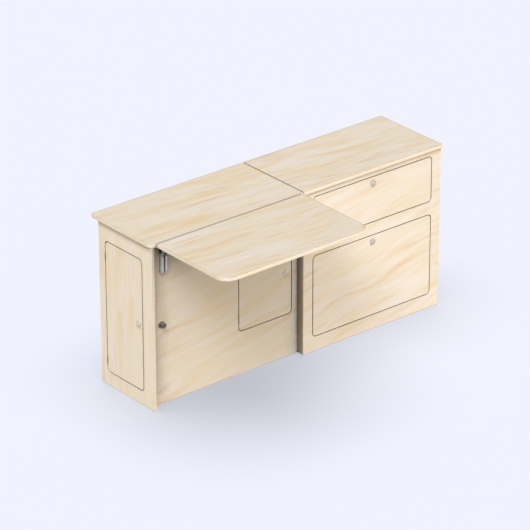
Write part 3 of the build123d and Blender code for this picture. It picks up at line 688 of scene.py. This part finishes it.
@dataclass(frozen=True)
class MetalFinish:
    """Plated, cast or polished metal. Every tone after the first one multiplies it.

    The slot is the record's name for the metal.
    """

    slot: str
    tone: Colour
    stain: Colour
    roughness: float
    metallic: float = 1.0
    cloud: float = 90.0
    cloud_roughness: float = 0.08
    scratch_roughness: float = 0.12
    grain: float = 1500.0
    grain_bump: float = 0.15
    grain_depth: float = 0.03 * MM
    # Painted highlight on rounded edges
    edge_highlight: Colour = (1.08, 1.08, 1.09)
    # Painted shade deep in narrow gaps, and under what stands out above
    gap_shade_tone: Colour = (0.10, 0.09, 0.085)
    gap_reach: float = 12 * MM
    shade_tone: Colour = (0.60, 0.58, 0.56)
    shade_reach: float = 20 * MM
    # The height above which painted shade covers the piece, none at 0
    shaded_from: float = 0.0
    shade_blend: float = 3 * MM

    def material(self) -> Material:
        """Makes the metal.

        Returns:
            The finished material.
        """
        surface = Surface.start(f"metal_{self.slot}")
        graph = surface.graph
        point = surface.place["Object"]
        plating = PLATING.place(graph, {"Point": point, "Cloud": self.cloud, "Grain": self.grain})
        edge = ROUNDING.place(graph, {"Normal": surface.place["Normal"]})["Edge"]
        colour = graph.shade(self.tone, self.stain, plating["Cloud"])
        # Painted highlight on the rounded edges
        colour = graph.shade(colour, self.edge_highlight, edge)
        # Painted shade under what stands out above, and deep in gaps
        crevices = CREVICES.place(graph, {"Reach": self.gap_reach, "Shelter": self.shade_reach})
        colour = graph.shade(colour, self.shade_tone, crevices["Overhang Shade"])
        colour = graph.shade(colour, self.gap_shade_tone, crevices["Gap Shade"])
        # Painted shade over the piece above a height
        if self.shaded_from:
            span = (self.shaded_from - self.shade_blend, self.shaded_from + self.shade_blend)
            colour = graph.shade(colour, self.shade_tone, graph.fade(graph.parts(point)[2], span))
        least = self.roughness - self.cloud_roughness / 2
        rough = graph.math("MULTIPLY_ADD", plating["Cloud"], self.cloud_roughness, least)
        return surface.wire({
            "Base Color": colour,
            "Metallic": self.metallic,
            "Roughness": graph.math("MULTIPLY_ADD", plating["Scratch"], self.scratch_roughness, rough),
            "Normal": surface.bump(plating["Grain"], self.grain_bump, self.grain_depth),
        })


@dataclass(frozen=True)
class RubberFinish:
    """Matt moulded rubber, paler in patches on what faces up."""

    slot: str
    tone: Colour = (0.115, 0.104, 0.106)
    upper_tone: Colour = (0.30, 0.27, 0.26)
    upper_span: Span = (0.1, 0.9)
    roughness: float = 0.62
    cloud: float = 160.0
    cloud_roughness: float = 0.15
    grain: float = 2400.0
    grain_bump: float = 0.35
    grain_depth: float = 0.08 * MM

    def material(self) -> Material:
        """Makes the rubber.

        Returns:
            The finished material.
        """
        surface = Surface.start(f"soft_{self.slot}")
        graph = surface.graph
        point = surface.place["Object"]
        plating = PLATING.place(graph, {"Point": point, "Cloud": self.cloud, "Grain": self.grain})
        upward = graph.parts(surface.place["Normal"])[2]
        upper_patches = graph.math("MULTIPLY", graph.fade(upward, self.upper_span), plating["Cloud"])
        rough = graph.math("MULTIPLY_ADD", plating["Cloud"], self.cloud_roughness, self.roughness)
        return surface.wire({
            # Paler in patches on what faces up
            "Base Color": graph.mix(MIX_COLOURS, upper_patches, self.tone, self.upper_tone),
            "Roughness": rough,
            "Normal": surface.bump(plating["Grain"], self.grain_bump, self.grain_depth),
        })


@dataclass(frozen=True)
class Board:
    """One board of the cabinet, which way its grain and its layers lie, and its veneer."""

    node: str
    grain: Axis
    layers: Axis
    figure: Figures
    seed: float
    plies: int = 9

    @property
    def across(self) -> Axis:
        """The direction across the grain, in the board's face."""
        return next(axis for axis in Axis if axis not in (self.grain, self.layers))

    def dress(self, finish: WoodFinish) -> Piece:
        """Gives the board its wood.

        Args:
            finish: The wood and its coat.

        Returns:
            The board.
        """
        low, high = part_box(self.node)
        return dress(self.node, finish.material(self, low, high))


def dress(node: str, material: Material) -> Piece:
    """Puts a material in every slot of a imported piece.

    Args:
        node: The piece's name.
        material: What it gets.

    Returns:
        The piece.
    """
    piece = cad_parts[node]
    for holder in piece.material_slots:
        holder.material = material
    return piece


def new_piece(name: str, mesh: Mesh, body: str, slot: str, material: Material) -> Piece:
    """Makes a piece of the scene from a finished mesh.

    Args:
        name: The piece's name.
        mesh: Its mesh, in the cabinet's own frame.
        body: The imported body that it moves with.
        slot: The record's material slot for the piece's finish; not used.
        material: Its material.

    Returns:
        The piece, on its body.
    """
    data = bpy.data.meshes.new(name)
    bmesh.ops.recalc_face_normals(mesh, faces=mesh.faces)
    mesh.to_mesh(data)
    mesh.free()
    data.materials.append(material)
    piece = bpy.data.objects.new(name, data)
    bpy.context.scene.collection.objects.link(piece)
    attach(piece, body)
    return piece


# Corners of a mesh that lie closer than this are one
SAME_PLACE = 0.001 * MM


def solids_of(node: str) -> Iterator[tuple[Vector, Vector]]:
    """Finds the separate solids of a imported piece.

    Args:
        node: The piece's name.

    Yields:
        The lowest and highest corner of each solid.
    """
    mesh = bmesh.new()
    mesh.from_mesh(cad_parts[node].data)
    bmesh.ops.remove_doubles(mesh, verts=mesh.verts, dist=SAME_PLACE)
    seen: set[bmesh.types.BMVert] = set()
    for start in mesh.verts:
        if start in seen:
            continue
        seen.add(start)
        found = [start]
        # The list grows while it is walked, until the whole solid is in it
        for corner in found:
            for joined in corner.link_edges:
                other = joined.other_vert(corner)
                if other not in seen:
                    seen.add(other)
                    found.append(other)
        corners = list(zip(*(corner.co for corner in found)))
        yield Vector(map(min, corners)), Vector(map(max, corners))
    mesh.free()


@dataclass(frozen=True)
class CrossHeadScrew:
    """A screw with a domed head and a cross recess, along its own Z, with the head's top at the origin."""

    head_radius: float
    head_height: float
    length: float
    dome_share: float = 0.7
    dome_power: float = 2.4
    shank_share: float = 0.5
    tip_share: float = 0.1
    taper_share: float = 2.0
    recess_share: float = 0.60
    slot_share: float = 0.17
    depth_share: float = 0.75
    floor_share: float = 0.6
    rings: int = 12
    spokes: int = 48

    def drop(self, x: float, y: float) -> float:
        """Works out how far a point of the head's face lies under its top.

        Args:
            x: The point's place, from the middle of the head.
            y: The same, the other way.

        Returns:
            The depth, in metres.
        """
        radius = math.hypot(x, y)
        dome = self.head_height * self.dome_share * (radius / self.head_radius) ** self.dome_power
        reach = self.recess_share * self.head_radius
        slot = self.slot_share * self.head_radius
        if min(abs(x), abs(y)) >= slot or radius >= reach:
            return dome
        return dome + self.head_height * self.depth_share * (1 - self.floor_share * radius / reach)

    def add_to(self, mesh: Mesh, place: Matrix) -> None:
        """Adds the screw to a mesh.

        Args:
            mesh: The mesh that gets it.
            place: Where its head's top is, with Z out of the head.
        """
        shank = self.head_radius * self.shank_share
        turns = [2 * math.pi * step / self.spokes for step in range(self.spokes)]
        middle = mesh.verts.new(place @ Vector((0, 0, -self.drop(0, 0))))
        loops = []
        for step in range(self.rings):
            radius = self.head_radius * (step + 1) / self.rings
            flat = [(radius * math.cos(turn), radius * math.sin(turn)) for turn in turns]
            loops.append([mesh.verts.new(place @ Vector((x, y, -self.drop(x, y)))) for x, y in flat])
        below = (
            (self.head_radius, self.head_height),
            (shank, self.head_height),
            (shank, self.length - self.taper_share * shank),
            (shank * self.tip_share, self.length),
        )
        for radius, depth in below:
            ring = [Vector((radius * math.cos(turn), radius * math.sin(turn), -depth)) for turn in turns]
            loops.append([mesh.verts.new(place @ corner) for corner in ring])
        for step in range(self.spokes):
            after = (step + 1) % self.spokes
            mesh.faces.new((middle, loops[0][step], loops[0][after]))
            for inner, outer in zip(loops, loops[1:]):
                mesh.faces.new((inner[step], outer[step], outer[after], inner[after]))
        mesh.faces.new(loops[-1])


@dataclass(frozen=True)
class ScrewRow:
    """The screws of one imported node, whose heads all face one way."""

    node: str
    body: str
    facing: Vector
    head_height: float = 1.0 * MM

    def build(self, finish: MetalFinish, material: Material) -> Piece:
        """Builds every screw of the row where its solid is.

        Args:
            finish: The screws' metal, for its slot.
            material: The metal itself.

        Returns:
            The piece with all the screws.
        """
        mesh = bmesh.new()
        out = max(Axis, key=lambda axis: abs(self.facing[axis.value])).value
        turn = self.facing.to_track_quat("Z", "Y").to_matrix().to_4x4()
        for low, high in solids_of(self.node):
            top = (low + high) / 2
            top[out] = high[out] if self.facing[out] > 0 else low[out]
            side = (out + 1) % len(Axis)
            screw = CrossHeadScrew((high[side] - low[side]) / 2, self.head_height, high[out] - low[out])
            screw.add_to(mesh, Matrix.Translation(top) @ turn)
        piece = new_piece(f"{self.node}_cross_head", mesh, self.body, finish.slot, material)
        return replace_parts(piece, self.node)


# Partly painted light: the tops' faces are toned darker than the panel wood, and their cut sides much
# lighter
TOP_WOOD = WoodFinish(
    tone=(0.758, 0.662, 0.545),
    peach=(0.990, 0.900, 0.745),
    green=(0.955, 0.955, 0.875),
    pale=(1.015, 1.045, 1.120),
    brown=(0.900, 0.840, 0.730),
    side_light_tone=(1.27, 1.29, 1.33),
    rim_line_tone=(0.70, 0.67, 0.62),
    rim_line_width=9 * MM,
)
PANEL_WOOD = WoodFinish()
BACK_WOOD = WoodFinish(tone=(0.78, 0.67, 0.54), roughness=0.62, specular=0.18)
DRAWER_WOOD = WoodFinish(tone=(0.79, 0.68, 0.55), roughness=0.60, specular=0.18)
SPRUCE = WoodFinish(tone=(0.76, 0.61, 0.41), roughness=0.62, specular=0.18)
BEECH = WoodFinish(tone=(0.66, 0.46, 0.31), roughness=0.60, specular=0.18)

# Painted light and shade on the panel wood: lighter on the right fronts where the lamps light it more,
# darker in the recess under the flap and much darker on the divider beside it
SUNLIT = (0.902, 0.792, 0.662)
SHADED = (0.755, 0.660, 0.538)
DEEP_SHADED = (0.560, 0.515, 0.450)

HINGE_STEEL = MetalFinish("hinge_steel", tone=(0.30, 0.27, 0.25), stain=(0.80, 0.76, 0.72), roughness=0.45)
SCREW_STEEL = MetalFinish("screw_steel", tone=(0.62, 0.62, 0.63), stain=(0.88, 0.88, 0.88), roughness=0.32)
BRACKET_STEEL = MetalFinish(
    "bracket_steel",
    tone=(0.70, 0.70, 0.72),
    stain=(0.88, 0.88, 0.89),
    roughness=0.45,
    metallic=0.25,
    # Painted shade: mild in gaps, near black under the flap, and on the wall legs above a height
    gap_shade_tone=(0.52, 0.50, 0.50),
    shade_tone=(0.10, 0.09, 0.09),
    shade_reach=70 * MM,
)
RUNNER_STEEL = MetalFinish("runner_steel", tone=(0.66, 0.67, 0.69), stain=(0.92, 0.92, 0.92), roughness=0.36)
LOCK_CHROME = MetalFinish(
    "lock_chrome",
    tone=(0.80, 0.72, 0.62),
    stain=(0.94, 0.92, 0.89),
    roughness=0.26,
    metallic=0.55,
    grain_depth=0.01 * MM,
    # Painted shade in the gaps around the lock
    gap_shade_tone=(0.24, 0.20, 0.17),
    gap_reach=5 * MM,
)
LOCK_ZINC = MetalFinish(
    "lock_zinc",
    tone=(0.14, 0.14, 0.15),
    stain=(0.85, 0.85, 0.85),
    roughness=0.52,
    metallic=0.6,
    grain=3000.0,
)
RUBBER = RubberFinish("rubber")


class SubAssembly:
    """A group of pieces that is made and fitted together."""

    def build(self) -> Iterator[Piece]:
        """Dresses and builds the group's pieces, one by one."""
        raise NotImplementedError


@dataclass(frozen=True)
class Worktops(SubAssembly):
    """The two tops, with the grain along the cabinet."""

    plies: int = 13
    left_seed: float = 3.0
    right_seed: float = 12.5

    def build(self) -> Iterator[Piece]:
        """Dresses the two tops."""
        for side, seed in (("left", self.left_seed), ("right", self.right_seed)):
            top = Board(f"worktop_{side}", Axis.X, Axis.Z, Figures.STRAIGHT, seed, self.plies)
            yield top.dress(TOP_WOOD)


@dataclass(frozen=True)
class Carcass(SubAssembly):
    """The boards under the tops, with their battens and dowels. Each seed picks the veneer of one board."""

    left_end_seed: float = 21.0
    right_end_seed: float = 26.0
    divider_seed: float = 30.0
    partition_seed: float = 34.0
    recess_seed: float = 33.0
    front_seed: float = 47.0
    level_seed: float = 61.0
    back_seed: float = 68.0
    batten_seed: float = 70.0
    dowel_seed: float = 71.0
    back_plies: int = 5
    solid_plies: int = 1
    # How far the painted shadow beside the end panel reaches into the recess
    recess_shadow_reach: float = 100 * MM

    def build(self) -> Iterator[Piece]:
        """Dresses the carcass boards and builds the screws of the battens."""
        uprights = (
            ("end_panel_left", self.left_end_seed, PANEL_WOOD),
            ("end_panel_right", self.right_end_seed, PANEL_WOOD),
            # The divider's tone is painted deep shade
            ("divider_panel", self.divider_seed, replace(PANEL_WOOD, tone=DEEP_SHADED)),
            ("partition_panel", self.partition_seed, PANEL_WOOD),
        )
        for node, seed, wood in uprights:
            yield Board(node, Axis.Z, Axis.X, Figures.QUIET, seed).dress(wood)
        recess = Board("recess_panel", Axis.X, Axis.Y, Figures.WAVY, self.recess_seed)
        # The recess panel's tone is painted shade
        yield recess.dress(replace(PANEL_WOOD, tone=SHADED, lee_reach=self.recess_shadow_reach))
        front = Board("right_front_panel", Axis.X, Axis.Y, Figures.WAVY, self.front_seed)
        # The right front's tone is painted light
        yield front.dress(replace(PANEL_WOOD, tone=SUNLIT))
        for step, node in enumerate(("base_left", "base_right", "drawer_shelf")):
            yield Board(node, Axis.X, Axis.Z, Figures.PLAIN, self.level_seed + step).dress(PANEL_WOOD)
        back = Board("back_panel", Axis.X, Axis.Y, Figures.WAVY, self.back_seed, self.back_plies)
        yield back.dress(BACK_WOOD)
        for node in ("worktop_battens", "runner_spacers"):
            strips = Board(node, Axis.Y, Axis.Z, Figures.PLAIN, self.batten_seed, self.solid_plies)
            yield strips.dress(SPRUCE)
        dowels = Board("joint_dowels", Axis.X, Axis.Z, Figures.PLAIN, self.dowel_seed, self.solid_plies)
        yield dowels.dress(BEECH)
        screws = ScrewRow("batten_screws", "cabinet", Vector((0, 0, -1)))
        yield screws.build(SCREW_STEEL, SCREW_STEEL.material())
        for node in ("cabinet_runners", "lock_strikes"):
            yield dress(node, RUNNER_STEEL.material())


@dataclass(frozen=True)
class Flap(SubAssembly):
    """The fold-down flap and the two folding brackets, whose wall legs get painted shade from a height up.
    """

    seed: float = 75.0
    plies: int = 13
    shaded_from: float = 672 * MM

    def build(self) -> Iterator[Piece]:
        """Dresses the flap and its brackets and builds their screws."""
        yield Board("flap_top", Axis.X, Axis.Z, Figures.STRAIGHT, self.seed, self.plies).dress(TOP_WOOD)
        steel = BRACKET_STEEL.material()
        yield dress("bracket_wall_legs", replace(BRACKET_STEEL, shaded_from=self.shaded_from).material())
        for node in ("bracket_arms", "bracket_pins"):
            yield dress(node, steel)
        for side in ("left", "right"):
            yield dress(f"bracket_lock_slide_{side}", steel)
        bright = SCREW_STEEL.material()
        yield ScrewRow("bracket_leg_screws", "cabinet", Vector((0, -1, 0))).build(SCREW_STEEL, bright)
        yield ScrewRow("bracket_arm_screws", "flap", Vector((0, 0, -1))).build(SCREW_STEEL, bright)


@dataclass(frozen=True)
class Door(SubAssembly):
    """A swinging door cut from the panel around it, so that the veneer runs on from one to the other."""

    name: str
    grain: Axis
    layers: Axis
    figure: Figures
    seed: float
    tone: Colour = PANEL_WOOD.tone

    def build(self) -> Iterator[Piece]:
        """Dresses the door and its hinge leaves."""
        door = Board(self.name, self.grain, self.layers, self.figure, self.seed)
        yield door.dress(replace(PANEL_WOOD, tone=self.tone))
        yield dress(f"{self.name}_hinge_leaves", HINGE_STEEL.material())


@dataclass(frozen=True)
class Drawer(SubAssembly):
    """A drawer: its front is cut from the panel around it, and its box is bare."""

    name: str
    front_seed: float
    box_seed: float
    side_plies: int = 1
    back_plies: int = 9
    bottom_plies: int = 5

    def build(self) -> Iterator[Piece]:
        """Dresses the front, the box and the runners."""
        front = Board(f"{self.name}_front", Axis.X, Axis.Y, Figures.WAVY, self.front_seed)
        # The drawer fronts' tone is painted light
        yield front.dress(replace(PANEL_WOOD, tone=SUNLIT))
        box = (
            ("sides", Axis.Y, Axis.X, self.side_plies),
            ("back", Axis.X, Axis.Y, self.back_plies),
            ("bottom", Axis.X, Axis.Z, self.bottom_plies),
        )
        for step, (part, grain, layers, plies) in enumerate(box):
            board = Board(f"{self.name}_{part}", grain, layers, Figures.PLAIN, self.box_seed + step, plies)
            yield board.dress(DRAWER_WOOD)
        yield dress(f"{self.name}_runners", RUNNER_STEEL.material())


@dataclass(frozen=True)
class PushLock(SubAssembly):
    """A round push lock: chrome outside, a dark cast case and bolt inside."""

    owner: str

    def build(self) -> Iterator[Piece]:
        """Dresses the lock's four pieces."""
        chrome = LOCK_CHROME.material()
        zinc = LOCK_ZINC.material()
        for part, metal in (("rosette", chrome), ("button", chrome), ("case", zinc), ("bolt", zinc)):
            yield dress(f"{self.owner}_lock_{part}", metal)


@dataclass(frozen=True)
class SmallIronwork(SubAssembly):
    """The hinge leaves and pins on the frame, and the rubber buffer that the folded flap lies against."""

    def build(self) -> Iterator[Piece]:
        """Dresses the frame's hinge pieces and the buffer."""
        steel = HINGE_STEEL.material()
        for node in ("frame_hinge_leaves", "hinge_pins"):
            yield dress(node, steel)
        yield dress("flap_buffer", RUBBER.material())


@dataclass(frozen=True)
class SoftLamp:
    """A large far lamp, as wide as its angle, from one direction."""

    name: str
    elevation: float
    azimuth: float
    angle: float
    light: Colour

    def build(self) -> Piece:
        """Makes the lamp.

        Returns:
            The lamp, turned so that it shines from its direction.
        """
        strongest = max(self.light)
        data = bpy.data.lights.new(self.name, "SUN")
        data.angle = math.radians(self.angle)
        data.energy = math.pi * strongest
        data.color = [part / strongest for part in self.light]
        lamp = bpy.data.objects.new(self.name, data)
        bpy.context.scene.collection.objects.link(lamp)
        up, round_z = math.radians(self.elevation), math.radians(self.azimuth)
        towards = Vector((math.cos(up) * math.cos(round_z), math.cos(up) * math.sin(round_z), math.sin(up)))
        lamp.visible_glossy = False
        lamp.rotation_mode = "QUATERNION"
        lamp.rotation_quaternion = towards.to_track_quat("Z", "Y")
        return lamp


@dataclass(frozen=True)
class Studio:
    """The camera at the photo's viewing angle, soft lamps, a pale room and a plain pale floor.

    The spans are in how far up one looks: -1 is straight down, 0 is level and 1 is straight up.
    """

    eye: Vector = Vector((-8.49877, -10.08043, 6.78095))
    forward: Vector = Vector((0.572319, 0.695659, -0.434176))
    right: Vector = Vector((0.771853, -0.635800, -0.001275))
    sensor: float = 36.0
    lens: float = 243.73
    sight: float = 100.0
    floor_size: float = 80.0
    floor_squares: int = 4
    floor_drop: float = 0.5 * MM
    floor_tone: Colour = (0.196, 0.195, 0.212)
    floor_glow: Colour = (0.982, 1.032, 1.173)
    floor_lift: float = 0.427
    level_span: Span = (-0.01, 0.01)
    room_above: float = 0.10
    room_below: float = 0.05
    low_span: Span = (-0.36, -0.14)
    high_span: Span = (0.12, 0.45)
    gloss_below: float = 1.05
    gloss_level: float = 0.22
    gloss_above: float = 0.60
    lamps: tuple[SoftLamp, ...] = (
        SoftLamp("key_left", 50, 214, 24, (0.685, 0.715, 0.748)),
        SoftLamp("key_front", 47, 270, 30, (0.255, 0.267, 0.290)),
        SoftLamp("fill_front", 12, 285, 24, (0.320, 0.328, 0.340)),
        SoftLamp("fill_front_right", 8, 320, 50, (0.520, 0.425, 0.310)),
        SoftLamp("fill_right", -8, 20, 20, (0.720, 0.700, 0.680)),
        SoftLamp("fill_back", -8, 90, 20, (0.300, 0.300, 0.300)),
        SoftLamp("fill_back_left", 4, 148, 45, (0.965, 0.935, 0.890)),
    )
    floor_lamps: tuple[SoftLamp, ...] = (
        SoftLamp("floor_lamp", 90, 0, 60, (1.75, 1.75, 1.75)),
        SoftLamp("floor_sky", 90, 0, 150, (0.45, 0.45, 0.45)),
    )

    def camera(self) -> None:
        """Makes the camera, which the scene then uses."""
        data = bpy.data.cameras.new("camera")
        data.sensor_width = self.sensor
        data.lens = self.lens
        data.clip_end = self.sight
        camera = bpy.data.objects.new("camera", data)
        bpy.context.scene.collection.objects.link(camera)
        forward, right = self.forward.normalized(), self.right.normalized()
        rows = zip(right, right.cross(forward), -forward, self.eye)
        camera.matrix_world = Matrix([*rows, (0, 0, 0, 1)])
        bpy.context.scene.camera = camera

    def floor(self) -> Piece:
        """Makes the floor.

        Returns:
            The floor, which only the camera sees.
        """
        mesh = bmesh.new()
        squares = self.floor_squares
        bmesh.ops.create_grid(mesh, x_segments=squares, y_segments=squares, size=self.floor_size / 2)
        bmesh.ops.translate(mesh, vec=(0, 0, -self.floor_drop), verts=mesh.verts)
        data = bpy.data.meshes.new("floor")
        mesh.to_mesh(data)
        mesh.free()
        surface = Surface.start("floor_paint")
        surface.wire({
            "Base Color": self.floor_tone,
            "Roughness": 1.0,
            "Specular IOR Level": 0.0,
            "Emission Color": self.floor_glow,
            "Emission Strength": self.floor_lift,
        })
        data.materials.append(surface.material)
        floor = bpy.data.objects.new("floor", data)
        bpy.context.scene.collection.objects.link(floor)
        floor.visible_diffuse = False
        floor.visible_glossy = False
        floor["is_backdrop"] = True
        return floor

    def share_light(self, floor: Piece) -> None:
        """Makes the lamps, and keeps the floor's lamps and the cabinet's lamps apart.

        Args:
            floor: The floor, which has lamps of its own.
        """
        only_floor = bpy.data.collections.new("lit_from_above")
        only_floor.objects.link(floor)
        for lamp in self.floor_lamps:
            lamp.build().light_linking.receiver_collection = only_floor
        no_floor = bpy.data.collections.new("not_the_floor")
        no_floor.objects.link(floor)
        no_floor.collection_objects[0].light_linking.link_state = "EXCLUDE"
        for lamp in self.lamps:
            lamp.build().light_linking.receiver_collection = no_floor

    def room(self) -> None:
        """Makes the pale room. What metal mirrors is brighter, with a dark band at eye level."""
        world = bpy.data.worlds.new("pale_room")
        world.use_nodes = True
        graph = Graph(world.node_tree)
        height = graph.parts(graph.add("TexCoord").outputs["Generated"])[2]
        plain = graph.fade(height, self.level_span, self.room_below, self.room_above)
        lower = graph.fade(height, self.low_span, self.gloss_below, self.gloss_level)
        gloss = graph.fade(height, self.high_span, lower, self.gloss_above)
        mirrored = graph.add("LightPath").outputs["Is Glossy Ray"]
        background = world.node_tree.nodes["Background"]
        background.inputs["Color"].default_value = (1, 1, 1, 1)
        graph.feed(background.inputs["Strength"], graph.between(mirrored, plain, gloss))
        bpy.context.scene.world = world

    def build(self) -> None:
        """Makes all of the studio."""
        self.camera()
        self.share_light(self.floor())
        self.room()
        bpy.context.scene.view_settings.view_transform = "Standard"


def write_sizes() -> None:
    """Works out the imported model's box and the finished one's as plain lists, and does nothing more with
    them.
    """
    boxes = {"cad": cad_box, "visual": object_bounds()}
    {name: [list(corner) for corner in box] for name, box in boxes.items()}


def main() -> None:
    """Dresses the cabinet group by group, and makes the studio around it."""
    logging.basicConfig(level=logging.INFO, format="%(message)s")
    carcass = Carcass()
    groups: list[SubAssembly] = [
        Worktops(),
        carcass,
        Flap(),
        Door("end_door", Axis.Z, Axis.X, Figures.QUIET, carcass.left_end_seed),
        # The small door's tone is painted shade, as in the recess
        Door("small_door", Axis.X, Axis.Y, Figures.WAVY, carcass.recess_seed, SHADED),
        Drawer("upper_drawer", carcass.front_seed, box_seed=83.0),
        Drawer("lower_drawer", carcass.front_seed, box_seed=89.0),
        *(PushLock(owner) for owner in ("end_door", "small_door", "upper_drawer", "lower_drawer")),
        SmallIronwork(),
    ]
    for group in groups:
        for piece in group.build():
            log.info("%s: %s", type(group).__name__, piece.name)
    Studio().build()
    write_sizes()


if __name__ == "__main__":
    main()
